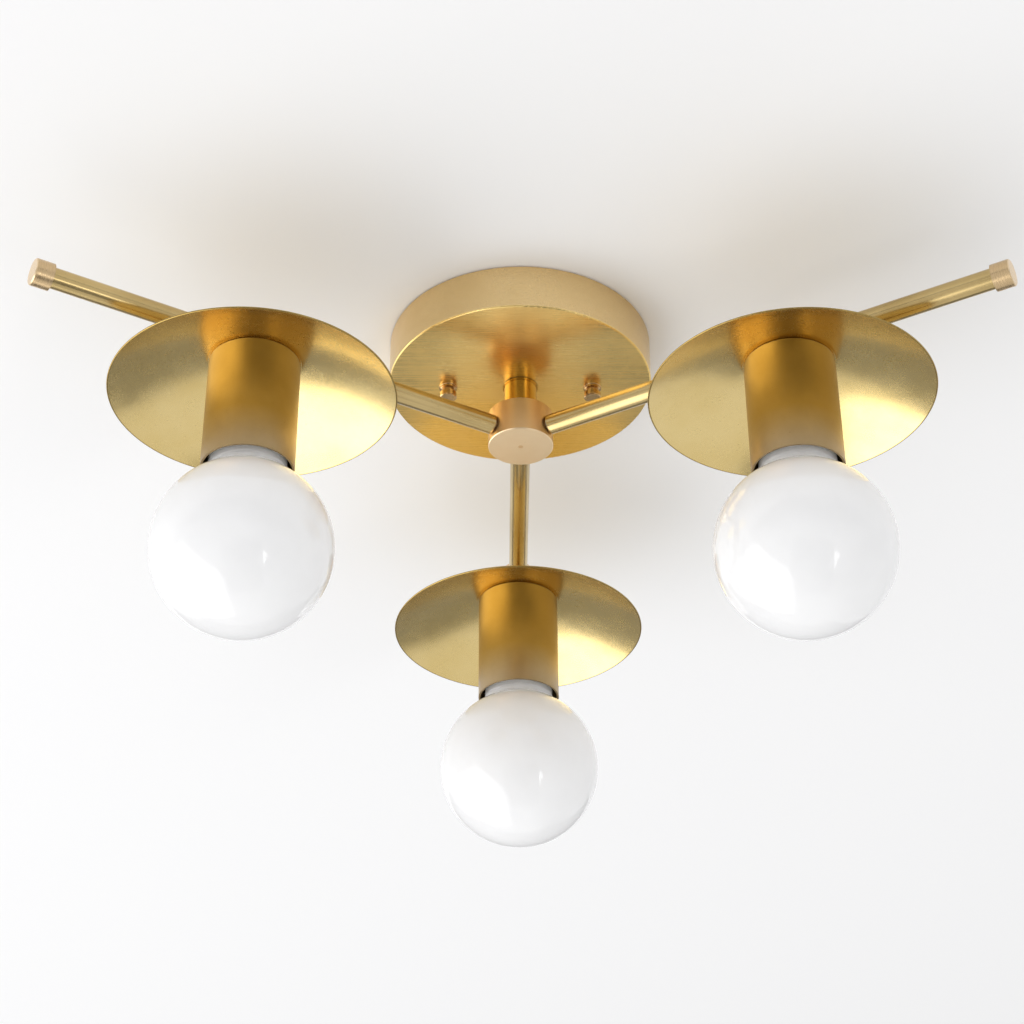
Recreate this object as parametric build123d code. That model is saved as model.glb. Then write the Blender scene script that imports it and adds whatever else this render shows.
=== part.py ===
from build123d import *
import math
import os

# Three-arm ceiling light. Millimetres, +Z up.
# The origin is the middle of the mounting crossbar's top face, on the ceiling plane.
# One arm points along +Y, and the others are spaced evenly round from it.

# Arms and lamps
arm_names = ("far", "left", "right")
first_arm_angle = 90.0
lamp_reach = 139.0
arm_drop = 51.0
tube_r = 4.7625
tube_bore_r = 3.175
outer_arm_length = 105.0

# Canopy
canopy_r = 63.5
canopy_height = 23.2
canopy_wall = 0.9
canopy_edge_r = 0.8

# Crossbar, studs and cap nuts
bar_length = 110.0
bar_width = 19.0
bar_thickness = 2.4
box_screw_spacing = 88.9
box_slot_width = 4.8
box_slot_length = 9.6
stud_spacing = 69.85
stud_r = 2.08
stud_thread_in_nut = 3.2
stud_nut_flats = 8.7
stud_nut_height = 3.2
stud_hole_clearance = 0.5
cap_nut_r = 4.1
cap_nut_flange_height = 0.9
cap_nut_waist_r = 3.0
cap_nut_waist_height = 2.2
cap_nut_height = 5.8
cap_nut_edge = 0.4
cap_nut_thread_clearance = 0.08
cap_nut_tip_room = 0.3
nut_washer_r = 4.5
nut_washer_thickness = 0.8

# Stem and hub
pipe_r = 5.1
pipe_bore_r = 3.5
stem_r = 7.9
stem_length = 16.2
stem_ring_r = 8.5
stem_ring_thickness = 0.9
hub_r = 15.5
hub_height = 18.1
hub_floor = 2.5
hub_edge = 0.35
hub_thread = 6.0
lock_washer_r = 8.6
lock_washer_thickness = 1.0
stem_nut_flats = 14.3
stem_nut_height = 4.0
nipple_stand = 2.4

# Short nipples between the hub and the arms
arm_nipple_bore_r = 2.3
arm_nipple_in_hub = 8.0
arm_nipple_in_tube = 9.0
arm_stand_off = 0.6

# Tee couplings and end caps
tee_r = 8.25
tee_height = 18.2
tee_seat = 4.0
tee_chamber_r = 4.6
tee_pipe_gap = 0.4
tee_edge = 0.6
end_cap_r = 6.2
end_cap_length = 8.5
end_cap_wall = 1.3
end_cap_edge = 0.5

# Discs and cups
disc_r = 64.5
disc_thickness = 1.0
disc_depth = 20.0
disc_flat_margin = 0.4
disc_bulge = 2.5
disc_rim_round = 0.4
cup_r = 20.65
cup_wall = 0.9
cup_length = 58.0
cup_edge_r = 1.6
pipe_hole_clearance = 0.15
head_nut_flats = 14.3
head_nut_height = 3.4

# Lamp sockets
socket_r = 17.4
socket_wall = 1.6
socket_cap_top = 3.2
socket_cap_length = 14.5
socket_floor = 4.2
socket_body_length = 29.5
shell_wall = 0.4
shell_lip = 2.0
contact_length = 14.0
contact_width = 5.0
contact_thickness = 0.6
contact_gap = 0.1
terminal_r = 2.8
terminal_height = 2.4
terminal_spacing = 21.6

# Bulbs
globe_r = 39.7
globe_wall = 1.0
bulb_length = 114.0
base_r = 13.1
base_clearance = 0.3
base_wall = 0.5
base_length = 21.5
base_shoulder = 1.8
tip_r = 4.8
tip_crown_r = 3.4
tip_height = 2.4
tip_insulator_r = 11.0
tip_insulator_crown_r = 8.2
tip_insulator_height = 2.0
tip_gap = 0.1
neck_r = 17.5
neck_taper = 6.5
neck_in_base = 6.0
globe_fillet = 3.0

# Wiring
wire_r = 0.9
wire_ring_r = 2.3
wire_pair_angle = 30.0
wire_bend = 3.5
wire_gather_bend = 3.0
hot_height = 6.2
neutral_height = 10.6
wire_spread = 11.0
hot_exit = {"far": 105.0, "left": 165.0, "right": 45.0}
neutral_exit = {"far": 15.0, "left": 200.0, "right": 285.0}
slot_mirror_angle = 60.0
connector_base_r = 5.4
connector_tip_r = 3.2
connector_edge_r = 0.8
connector_length = 21.0
connector_mouth_r = 2.7
connector_bore = 12.0
connector_reach = 25.0
connector_drop = 12.6
splice_ring_r = 1.2
splice_depth = 9.0
splice_straight = 4.0
ground_x = 19.0
ground_head_r = 3.8
ground_head_height = 2.2
ground_shank_r = 2.0
lug_r = 9.4
lug_thickness = 0.8
lug_wire_out = 17.0
lug_wire_overlap = 0.4
lug_angle = -45.0

# How near an edge must lie to the place or size it is picked by
edge_match = 0.01

os.makedirs("parts", exist_ok=True)

# Directions, heights and reaches that follow from the sizes above
arm_spacing = 360.0 / len(arm_names)
arm_angles = {name: first_arm_angle + i * arm_spacing for i, name in enumerate(arm_names)}
bar_bottom = -bar_thickness
canopy_face = -canopy_height
canopy_floor = canopy_face + canopy_wall
ring_bottom = canopy_face - stem_ring_thickness
hub_top = ring_bottom - stem_length
hub_bottom = hub_top - hub_height
arm_z = -arm_drop
lug_top = canopy_floor + lug_thickness
lock_washer_top = lug_top + lock_washer_thickness
stem_nut_top = lock_washer_top + stem_nut_height
nipple_top = stem_nut_top + nipple_stand
nipple_bottom = hub_top - hub_thread
washer_bottom = canopy_face - nut_washer_thickness
cap_nut_bottom = washer_bottom - cap_nut_height
stud_bottom = washer_bottom - stud_thread_in_nut
tee_top = arm_z + tee_height / 2
tee_bottom = arm_z - tee_height / 2
disc_underside = tee_bottom - disc_thickness
cup_top = disc_underside
cup_inside_top = cup_top - cup_wall
cup_bottom = cup_top - cup_length
socket_top = cup_inside_top - head_nut_height
socket_joint = socket_top - socket_cap_length
socket_bottom = socket_joint - socket_body_length
platform_bottom = socket_joint - socket_floor
contact_bottom = platform_bottom - contact_thickness
tip_top = contact_bottom - contact_gap
insulator_top = tip_top - tip_height
base_top = insulator_top - tip_insulator_height - tip_gap
base_bottom = base_top - base_length
globe_z = tip_top - bulb_length + globe_r
head_pipe_top = arm_z - tube_r - tee_pipe_gap
head_pipe_bottom = socket_top - socket_cap_top
shell_r = base_r + base_clearance
cup_inner_r = cup_r - cup_wall
socket_inner_r = socket_r - socket_wall
disc_flat_r = cup_r + disc_flat_margin
tube_inner_start = hub_r + arm_stand_off
tube_inner_end = lamp_reach - tee_r + tee_seat
tube_outer_start = lamp_reach + tee_r - tee_seat
tube_outer_end = lamp_reach + outer_arm_length
end_cap_outer = tube_outer_end + end_cap_wall


def save(shape, name):
    """Writes one named piece."""
    export_step(shape, f"parts/{name}.step")


def rod(radius, top, bottom, x=0.0, y=0.0):
    """Upright cylinder between two heights."""
    place = Pos(x, y, (top + bottom) / 2)
    return place * Cylinder(radius, top - bottom)


def ring(outer, inner, top, bottom, x=0.0, y=0.0):
    """Upright tube between two heights."""
    return rod(outer, top, bottom, x, y) - rod(inner, top, bottom, x, y)


def level_rod(radius, start, end, z):
    """Cylinder along +X between two distances from the centre."""
    place = Pos((start + end) / 2, 0, z) * Rot(0, 90, 0)
    return place * Cylinder(radius, end - start)


def hex_nut(flats, top, bottom, bore, x=0.0, y=0.0):
    """Upright hexagonal nut with a round bore."""
    outline = Pos(x, y, bottom) * RegularPolygon(flats / 2, 6, major_radius=False)
    body = extrude(outline, top - bottom)
    return body - rod(bore, top, bottom, x, y)


def turned(points, x=0.0):
    """Solid of revolution about an upright axis, from (radius, height) points."""
    outline = make_face(Polyline(*[(r, 0, z) for r, z in points], close=True))
    return Pos(x, 0, 0) * revolve(outline, Axis.Z)


def on_arm(shape, angle):
    """Turns a piece from the +X direction to its own arm."""
    return Rot(0, 0, angle) * shape


def group(solids):
    """Several separate solids in one piece list."""
    return Compound(children=list(solids))


def edges_at(shape, z, radius):
    """Circular edges of one radius at one height."""
    circles = shape.edges().filter_by(GeomType.CIRCLE)
    level = circles.filter_by(lambda e: abs(e.arc_center.Z - z) < edge_match)
    return level.filter_by(lambda e: abs(e.radius - radius) < edge_match)


def make_canopy():
    """Shallow pan, open at the ceiling, with holes for the stem and the studs."""
    pan = rod(canopy_r, 0, canopy_face)
    pan = fillet(edges_at(pan, canopy_face, canopy_r), canopy_edge_r)
    inside = rod(canopy_r - canopy_wall, 0, canopy_floor)
    inside = fillet(
        edges_at(inside, canopy_floor, canopy_r - canopy_wall),
        canopy_edge_r - canopy_wall / 2,
    )
    pan -= inside
    pan -= rod(pipe_r + pipe_hole_clearance, canopy_floor, canopy_face)
    for side in (-1, 1):
        x = side * stud_spacing / 2
        pan -= rod(stud_r + stud_hole_clearance, canopy_floor, canopy_face, x)
    return pan


def make_crossbar():
    """Flat bar with two slots for the ceiling box, and tapped holes."""
    outline = RectangleRounded(bar_length, bar_width, bar_width / 3)
    bar = Pos(0, 0, bar_bottom) * extrude(outline, bar_thickness)
    slot = extrude(SlotOverall(box_slot_length, box_slot_width), bar_thickness)
    for side in (-1, 1):
        bar -= Pos(side * box_screw_spacing / 2, 0, bar_bottom) * slot
        bar -= rod(stud_r, 0, bar_bottom, side * stud_spacing / 2)
    bar -= rod(pipe_r, 0, bar_bottom)
    bar -= rod(ground_shank_r, 0, bar_bottom, ground_x)
    return bar


def make_studs():
    """Two threaded studs that hang from the crossbar through the canopy."""
    return group(
        rod(stud_r, 0, stud_bottom, side * stud_spacing / 2) for side in (-1, 1)
    )


def make_stud_nuts():
    """Two hexagonal nuts that lock the studs under the crossbar."""
    bottom = bar_bottom - stud_nut_height
    return group(
        hex_nut(stud_nut_flats, bar_bottom, bottom, stud_r, side * stud_spacing / 2)
        for side in (-1, 1)
    )


def make_nut_washer(x):
    """Small finishing washer between the canopy and a cap nut."""
    bore = stud_r + cap_nut_thread_clearance
    washer = ring(nut_washer_r, bore, canopy_face, washer_bottom, x)
    return fillet(edges_at(washer, washer_bottom, nut_washer_r), nut_washer_thickness / 3)


def make_cap_nut(x):
    """Turned nut with a waist under its flange and a closed flat end."""
    flange_bottom = washer_bottom - cap_nut_flange_height
    waist_bottom = flange_bottom - cap_nut_waist_height
    edge = cap_nut_edge
    body = turned(
        [
            (0, washer_bottom),
            (cap_nut_r, washer_bottom),
            (cap_nut_r, flange_bottom),
            (cap_nut_waist_r, flange_bottom - edge),
            (cap_nut_waist_r, waist_bottom + edge),
            (cap_nut_r, waist_bottom),
            (cap_nut_r, cap_nut_bottom + edge),
            (cap_nut_r - edge, cap_nut_bottom),
            (0, cap_nut_bottom),
        ],
        x,
    )
    thread_end = stud_bottom - cap_nut_tip_room
    return body - rod(stud_r + cap_nut_thread_clearance, washer_bottom, thread_end, x)


def make_stem():
    """Plain tube between the ring under the canopy and the hub."""
    return ring(stem_r, pipe_r, ring_bottom, hub_top)


def make_hub():
    """Turned block with one bore from above and three from the sides."""
    hub = rod(hub_r, hub_top, hub_bottom)
    hub = chamfer(edges_at(hub, hub_bottom, hub_r), hub_edge)
    hub = chamfer(edges_at(hub, hub_top, hub_r), hub_edge)
    hub -= rod(pipe_r, hub_top, hub_bottom + hub_floor)
    for angle in arm_angles.values():
        hub -= on_arm(level_rod(tube_bore_r, 0, hub_r, arm_z), angle)
    return hub


def make_arm_nipple():
    """Short pipe that joins the hub and an arm tube."""
    start = hub_r - arm_nipple_in_hub
    end = tube_inner_start + arm_nipple_in_tube
    body = level_rod(tube_bore_r, start, end, arm_z)
    return body - level_rod(arm_nipple_bore_r, start, end, arm_z)


def make_tube(start, end):
    """Arm tube along +X."""
    return level_rod(tube_r, start, end, arm_z) - level_rod(tube_bore_r, start, end, arm_z)


def make_tee():
    """Upright coupling that takes an arm tube from each side and a pipe from below."""
    tee = rod(tee_r, tee_top, tee_bottom, lamp_reach)
    tee = chamfer(edges_at(tee, tee_top, tee_r), tee_edge)
    tee = chamfer(edges_at(tee, tee_bottom, tee_r), tee_edge / 2)
    tee -= level_rod(tube_r, lamp_reach - tee_r, tube_inner_end, arm_z)
    tee -= level_rod(tube_r, tube_outer_start, lamp_reach + tee_r, arm_z)
    tee -= level_rod(tube_bore_r, tube_inner_end, tube_outer_start, arm_z)
    tee -= rod(tee_chamber_r, arm_z + tube_bore_r, head_pipe_top, lamp_reach)
    tee -= rod(pipe_r, head_pipe_top, tee_bottom, lamp_reach)
    return tee


def make_end_cap():
    """Closed cap over the outer end of an arm."""
    start = end_cap_outer - end_cap_length
    cap = level_rod(end_cap_r, start, end_cap_outer, arm_z)
    ends = cap.edges().filter_by(GeomType.CIRCLE)
    outer_end = ends.filter_by(lambda e: abs(e.arc_center.X - end_cap_outer) < edge_match)
    cap = chamfer(outer_end, end_cap_edge)
    return cap - level_rod(tube_r, start, tube_outer_end, arm_z)


def make_disc():
    """Thin dished disc: a flat centre, then a shallow dome down to the rim."""
    hole_r = pipe_r + pipe_hole_clearance
    fall = disc_depth - disc_thickness
    run = disc_r - disc_flat_r
    chord = math.hypot(run, fall)
    middle_r = disc_flat_r + run / 2 + disc_bulge * fall / chord
    middle_fall = fall / 2 - disc_bulge * run / chord

    def face_line(top):
        """Flat and dome of one face of the sheet."""
        flat = Line((hole_r, 0, top), (disc_flat_r, 0, top))
        middle = (middle_r, 0, top - middle_fall)
        return flat, ThreePointArc((disc_flat_r, 0, top), middle, (disc_r, 0, top - fall))

    upper_flat, upper_dome = face_line(tee_bottom)
    lower_flat, lower_dome = face_line(disc_underside)
    hole_edge = Line(upper_flat @ 0, lower_flat @ 0)
    rim_edge = Line(upper_dome @ 1, lower_dome @ 1)
    lines = [upper_flat, upper_dome, rim_edge, lower_dome, lower_flat, hole_edge]
    disc = Pos(lamp_reach, 0, 0) * revolve(make_face(Curve() + lines), Axis.Z)
    circles = disc.edges().filter_by(GeomType.CIRCLE)
    rims = circles.filter_by(lambda e: e.radius > disc_r - edge_match)
    return fillet(rims, disc_rim_round)


def make_cup():
    """Straight cup, closed at the top and open below."""
    cup = rod(cup_r, cup_top, cup_bottom, lamp_reach)
    cup = fillet(edges_at(cup, cup_top, cup_r), cup_edge_r)
    inside = rod(cup_inner_r, cup_inside_top, cup_bottom, lamp_reach)
    inside = fillet(edges_at(inside, cup_inside_top, cup_inner_r), cup_edge_r - cup_wall / 2)
    cup -= inside
    return cup - rod(pipe_r + pipe_hole_clearance, cup_top, cup_inside_top, lamp_reach)


def make_head_nipple():
    """Upright pipe that hangs disc, cup and socket from a tee."""
    return ring(pipe_r, pipe_bore_r, head_pipe_top, head_pipe_bottom, lamp_reach)


def make_socket_cap():
    """Upper half of a lamp socket, screwed to the upright pipe."""
    cap = rod(socket_r, socket_top, socket_joint, lamp_reach)
    cap = fillet(edges_at(cap, socket_top, socket_r), socket_wall)
    cap -= rod(socket_inner_r, socket_top - socket_cap_top, socket_joint, lamp_reach)
    return cap - rod(pipe_r, socket_top, socket_top - socket_cap_top, lamp_reach)


def make_socket_body():
    """Lower half of a lamp socket: a floor and a skirt round the screw shell."""
    body = rod(socket_r, socket_joint, socket_bottom, lamp_reach)
    body = fillet(edges_at(body, socket_bottom, socket_r), socket_wall / 2)
    return body - rod(shell_r + shell_wall, platform_bottom, socket_bottom, lamp_reach)


def make_screw_shell():
    """Thin metal sleeve that takes the bulb, turned in at its top."""
    outer = shell_r + shell_wall
    shell = rod(outer, platform_bottom, socket_bottom, lamp_reach)
    shell -= rod(shell_r, platform_bottom - shell_wall, socket_bottom, lamp_reach)
    return shell - rod(shell_r - shell_lip, platform_bottom, platform_bottom - shell_wall, lamp_reach)


def make_contact():
    """Flat spring tongue in the middle of a socket."""
    strip = Box(contact_length, contact_width, contact_thickness)
    strip = fillet(strip.edges().filter_by(Axis.Z), contact_width / 2.5)
    return Pos(lamp_reach, 0, (platform_bottom + contact_bottom) / 2) * strip


def make_terminals():
    """Two terminal screws on the floor of a socket, heads up."""
    top = socket_joint + terminal_height
    return [
        rod(terminal_r, top, socket_joint, lamp_reach, side * terminal_spacing / 2)
        for side in (-1, 1)
    ]


def make_bulb_tip():
    """Contact button in its glass insulator, at the top of a bulb."""
    return turned(
        [
            (0, tip_top),
            (tip_crown_r, tip_top),
            (tip_r, tip_top - tip_height / 2),
            (tip_r, insulator_top),
            (tip_insulator_crown_r, insulator_top),
            (tip_insulator_r, base_top + tip_gap),
            (0, base_top + tip_gap),
        ],
        lamp_reach,
    )


def make_bulb_base():
    """Thin screw base of a bulb, open below and drawn in at the top."""
    shoulder = base_top - base_shoulder
    return turned(
        [
            (tip_r, base_top),
            (tip_insulator_r, base_top),
            (base_r, shoulder),
            (base_r, base_bottom),
            (base_r - base_wall, base_bottom),
            (base_r - base_wall, shoulder - base_wall),
            (tip_insulator_r - base_wall, base_top - base_wall),
            (tip_r, base_top - base_wall),
        ],
        lamp_reach,
    )


def bulb_outline(shrink):
    """Globe and neck outline of one face of the glass, from the neck down."""
    stem = base_r - base_wall - shrink
    neck = neck_r - shrink
    globe = globe_r - shrink
    blend = globe_fillet
    neck_top = base_bottom - neck_taper
    centre_r = neck + blend
    centre_z = globe_z + math.sqrt((globe + blend) ** 2 - centre_r**2)
    lean = math.atan2(centre_z - globe_z, centre_r)
    touch = (globe * math.cos(lean), globe_z + globe * math.sin(lean))
    half = math.radians(180) + lean / 2
    middle = (centre_r + blend * math.cos(half), centre_z + blend * math.sin(half))
    far_side = (globe, globe_z)
    neck_line = Polyline(
        (stem, 0, base_bottom + neck_in_base),
        (stem, 0, base_bottom - shrink / 2),
        (neck, 0, neck_top),
        (neck, 0, centre_z),
    )
    hollow = ThreePointArc(
        (neck, 0, centre_z), (middle[0], 0, middle[1]), (touch[0], 0, touch[1])
    )
    ball = ThreePointArc((touch[0], 0, touch[1]), (far_side[0], 0, far_side[1]), (0, 0, globe_z - globe))
    return neck_line, hollow, ball


def make_bulb_glass():
    """Hollow opal globe with its neck, open where the base holds it."""
    outer = bulb_outline(0)
    inner = bulb_outline(globe_wall)
    top_edge = Line(outer[0] @ 0, inner[0] @ 0)
    bottom_edge = Line(outer[2] @ 1, inner[2] @ 1)
    outline = make_face(Curve() + [*outer, bottom_edge, *inner, top_edge])
    return Pos(lamp_reach, 0, 0) * revolve(outline, Axis.Z)


def turn_point(distance, offset, z, angle):
    """Point at a distance along an arm and an offset across it."""
    a = math.radians(angle)
    x = distance * math.cos(a) - offset * math.sin(a)
    y = distance * math.sin(a) + offset * math.cos(a)
    return (x, y, z)


def make_wire(points, bends):
    """Round insulated wire along straight runs joined by arcs."""
    path = FilletPolyline(*points, radius=bends)
    start = Plane(origin=path @ 0, z_dir=path % 0)
    return sweep(start * Circle(wire_r), path=path)


def lamp_route(angle, side):
    """Last part of a lamp wire: down the stem, along the arm and into the socket."""
    half_pair = math.radians(wire_pair_angle)
    along = wire_ring_r * math.cos(half_pair)
    across = side * wire_ring_r * math.sin(half_pair)
    end_z = socket_joint + wire_r
    reach = terminal_spacing / 2 - terminal_r
    return [
        turn_point(along, across, arm_z, angle),
        turn_point(lamp_reach, across, arm_z, angle),
        turn_point(lamp_reach, across, end_z, angle),
        turn_point(lamp_reach, side * reach, end_z, angle),
    ]


def ceiling_route(angle, side, height, exit_angle, slot):
    """First part of a lamp wire: from its connector to the top of the stem."""
    rise = turn_point(wire_ring_r, 0, -height, angle + wire_pair_angle * side)
    away = turn_point(wire_spread, 0, 0, exit_angle)
    star = (rise[0] + away[0], rise[1] + away[1], -height)
    a = math.radians(slot)
    x = splice_ring_r * math.cos(a)
    z = -connector_drop + splice_ring_r * math.sin(a)
    end = (x, side * (connector_reach + splice_depth), z)
    near = (x, side * (connector_reach - splice_straight), z)
    return [end, near, star, rise]


def make_connector(direction):
    """Conical twist-on connector that joins the wires of one polarity."""
    cone = Cone(connector_base_r, connector_tip_r, connector_length)
    cone = fillet(cone.edges().filter_by(GeomType.CIRCLE), connector_edge_r)
    bore = Pos(0, 0, (connector_bore - connector_length) / 2) * Cylinder(
        connector_mouth_r, connector_bore
    )
    cone -= bore
    middle = connector_reach + connector_length / 2
    return Pos(0, direction * middle, -connector_drop) * Rot(-90 * direction, 0, 0) * cone


def make_ground_screw():
    """Screw in the crossbar that holds the ground wire."""
    head = rod(ground_head_r, bar_bottom, bar_bottom - ground_head_height, ground_x)
    return head + rod(ground_shank_r, 0, bar_bottom, ground_x)


def make_ground_wire():
    """Ring terminal under the lock washer, with its wire up to the ground screw."""
    lug = ring(lug_r, pipe_r, lug_top, canopy_floor)
    start_z = canopy_floor + wire_r
    end_z = bar_bottom - ground_head_height / 2
    tail = turn_point(lug_r - lug_wire_overlap, 0, start_z, lug_angle)
    out = turn_point(lug_wire_out, 0, start_z, lug_angle)
    turn = (ground_x, -lug_wire_out, end_z)
    end = (ground_x, -ground_head_r, end_z)
    return lug + make_wire([tail, out, turn, end], [wire_gather_bend, wire_gather_bend])


save(make_canopy(), "canopy")
save(make_crossbar(), "crossbar")
save(make_studs(), "canopy_studs")
save(make_stud_nuts(), "stud_nuts")
save(ring(stem_ring_r, pipe_r, canopy_face, ring_bottom), "stem_ring")
save(make_stem(), "stem")
save(ring(pipe_r, pipe_bore_r, nipple_top, nipple_bottom), "centre_nipple")
save(ring(lock_washer_r, pipe_r, lock_washer_top, lug_top), "lock_washer")
save(hex_nut(stem_nut_flats, stem_nut_top, lock_washer_top, pipe_r), "stem_nut")
save(make_hub(), "hub")
save(group(make_connector(side) for side in (1, -1)), "wire_connectors")
save(make_ground_screw(), "ground_screw")
save(make_ground_wire(), "ground_wire")

for side, name in ((-1, "left"), (1, "right")):
    save(make_nut_washer(side * stud_spacing / 2), f"nut_washer_{name}")
    save(make_cap_nut(side * stud_spacing / 2), f"cap_nut_{name}")

lamp_pieces = {
    "arm_inner": make_tube(tube_inner_start, tube_inner_end),
    "arm_outer": make_tube(tube_outer_start, tube_outer_end),
    "tee": make_tee(),
    "end_cap": make_end_cap(),
    "disc": make_disc(),
    "cup": make_cup(),
    "socket": make_socket_body(),
    "screw_shell": make_screw_shell(),
    "bulb_tip": make_bulb_tip(),
    "bulb_base": make_bulb_base(),
    "bulb_glass": make_bulb_glass(),
}
for piece, shape in lamp_pieces.items():
    for name, angle in arm_angles.items():
        save(on_arm(shape, angle), f"{piece}_{name}")

shared_pieces = {
    "hub_nipples": [make_arm_nipple()],
    "head_nipples": [make_head_nipple()],
    "head_nuts": [hex_nut(head_nut_flats, cup_inside_top, socket_top, pipe_r, lamp_reach)],
    "socket_caps": [make_socket_cap()],
    "centre_contacts": [make_contact()],
    "terminal_screws": make_terminals(),
}
for piece, shapes in shared_pieces.items():
    save(group(on_arm(s, a) for a in arm_angles.values() for s in shapes), piece)

for name, angle in arm_angles.items():
    pair = []
    for side, height, exits, slot in (
        (1, hot_height, hot_exit, angle),
        (-1, neutral_height, neutral_exit, slot_mirror_angle - angle),
    ):
        route = ceiling_route(angle, side, height, exits[name], slot)
        route += lamp_route(angle, side)
        bends = [wire_gather_bend] * 2 + [wire_bend] * 4
        pair.append(make_wire(route, bends))
    save(group(pair), f"wires_{name}")
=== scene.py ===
import math

import bmesh
import bpy
from mathutils import Matrix, Vector


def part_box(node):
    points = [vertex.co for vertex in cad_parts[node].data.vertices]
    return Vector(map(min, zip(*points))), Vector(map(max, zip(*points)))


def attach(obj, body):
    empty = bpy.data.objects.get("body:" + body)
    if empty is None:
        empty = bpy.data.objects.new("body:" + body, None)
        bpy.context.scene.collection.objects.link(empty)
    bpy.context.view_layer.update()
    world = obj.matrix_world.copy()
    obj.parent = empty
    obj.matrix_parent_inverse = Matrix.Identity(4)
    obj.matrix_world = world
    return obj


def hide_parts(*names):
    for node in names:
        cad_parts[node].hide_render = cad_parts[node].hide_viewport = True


# A three-arm brass ceiling light with opal globe bulbs. Metres, in the CAD model's frame.

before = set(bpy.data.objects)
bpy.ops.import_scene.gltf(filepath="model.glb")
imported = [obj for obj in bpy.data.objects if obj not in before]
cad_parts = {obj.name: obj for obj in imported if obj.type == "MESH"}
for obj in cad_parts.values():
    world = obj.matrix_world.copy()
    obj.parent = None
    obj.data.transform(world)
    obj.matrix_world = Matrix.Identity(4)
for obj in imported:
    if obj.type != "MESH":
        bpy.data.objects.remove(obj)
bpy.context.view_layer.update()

LAMPS = ("far", "left", "right")
ARM_ANGLE = {"far": 90.0, "left": 210.0, "right": 330.0}
MM = 0.001

# Pitches of 7, 32 and 27 threads to the inch, and the depths of those threads.
BULB_PITCH = 25.4 / 7 * MM
STUD_PITCH = 25.4 / 32 * MM
PIPE_PITCH = 25.4 / 27 * MM
BULB_DEPTH = 0.85 * MM
STUD_DEPTH = 0.42 * MM
PIPE_DEPTH = 0.5 * MM

# Hole for a threaded pipe in its nuts and washer.
PIPE_HOLE_R = 5.1 * MM

# Pairs of tones that more than one material has. The peach pair is painted light: the lighter tone
# given to flat faces that catch more light than their sides.
PEACH_LIT_FACE = ((0.92, 0.73, 0.48), (0.87, 0.66, 0.41))
TAN = ((0.78, 0.54, 0.29), (0.72, 0.48, 0.24))
STEEL = ((0.62, 0.62, 0.60), (0.55, 0.55, 0.50))
CONTACT = ((0.74, 0.58, 0.28), (0.70, 0.53, 0.24))
BLACK = (0.03, 0.03, 0.03)
GREEN = (0.05, 0.30, 0.10)

# Ranges that the values of fine noise and of patchy noise mostly fill.
FINE = (0.3, 0.7)
PATCHY = (0.35, 0.7)


# Camera and studio

def make_camera():
    """Camera below the light, looking up at it."""
    place = (-0.0133, -0.8863, -0.6713)
    yaw, pitch, roll = math.radians(0.58), math.radians(33.01), math.radians(-0.314)
    forward = Vector(
        (math.sin(yaw) * math.cos(pitch), math.cos(yaw) * math.cos(pitch), math.sin(pitch))
    )
    level = Vector((math.cos(yaw), -math.sin(yaw), 0))
    above = level.cross(forward)
    right = level * math.cos(roll) + above * math.sin(roll)
    up = above * math.cos(roll) - level * math.sin(roll)
    data = bpy.data.cameras.new("camera")
    data.lens = 79.39
    data.sensor_width = 36.0
    data.clip_start = 0.01
    camera = bpy.data.objects.new("camera", data)
    turn = Matrix((right, up, -forward)).transposed()
    camera.matrix_world = Matrix.Translation(place) @ turn.to_4x4()
    bpy.context.scene.collection.objects.link(camera)
    bpy.context.scene.camera = camera


def place_facing(thing, place, target, front):
    """Links an object at a place, with its front axis towards a point."""
    aim = Vector(target) - Vector(place)
    thing.location = place
    thing.rotation_euler = aim.to_track_quat(front, "Y").to_euler()
    bpy.context.scene.collection.objects.link(thing)


def make_area_light(name, place, target, width, height, radiance, diffuse=True):
    """Soft rectangular light that faces a point, for gloss alone where diffuse is off."""
    data = bpy.data.lights.new(name, "AREA")
    data.shape = "RECTANGLE"
    data.size = width
    data.size_y = height
    data.energy = radiance * math.pi * width * height
    light = bpy.data.objects.new(name, data)
    light.visible_camera = False
    light.visible_diffuse = diffuse
    place_facing(light, place, target, "-Z")


def make_world():
    """Evenly white room."""
    world = bpy.data.worlds.new("studio")
    bpy.context.scene.world = world
    world.use_nodes = True
    background = world.node_tree.nodes["Background"]
    background.inputs["Color"].default_value = (1, 1, 1, 1)
    background.inputs["Strength"].default_value = 0.80


def make_card(name, place, target, width, height, grey):
    """Flat studio card that gives the brass something darker to reflect."""
    mesh = bpy.data.meshes.new(name)
    x, y = width / 2, height / 2
    mesh.from_pydata([(-x, -y, 0), (x, -y, 0), (x, y, 0), (-x, y, 0)], [], [(0, 1, 2, 3)])
    card = bpy.data.objects.new(name, mesh)
    card.visible_camera = False
    card.visible_diffuse = False
    card.visible_shadow = False
    place_facing(card, place, target, "Z")
    material, _, paint = new_material(name)
    paint.inputs["Base Color"].default_value = (grey, grey, grey, 1)
    paint.inputs["Roughness"].default_value = 1.0
    paint.inputs["Specular IOR Level"].default_value = 0.0
    mesh.materials.append(material)


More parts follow.
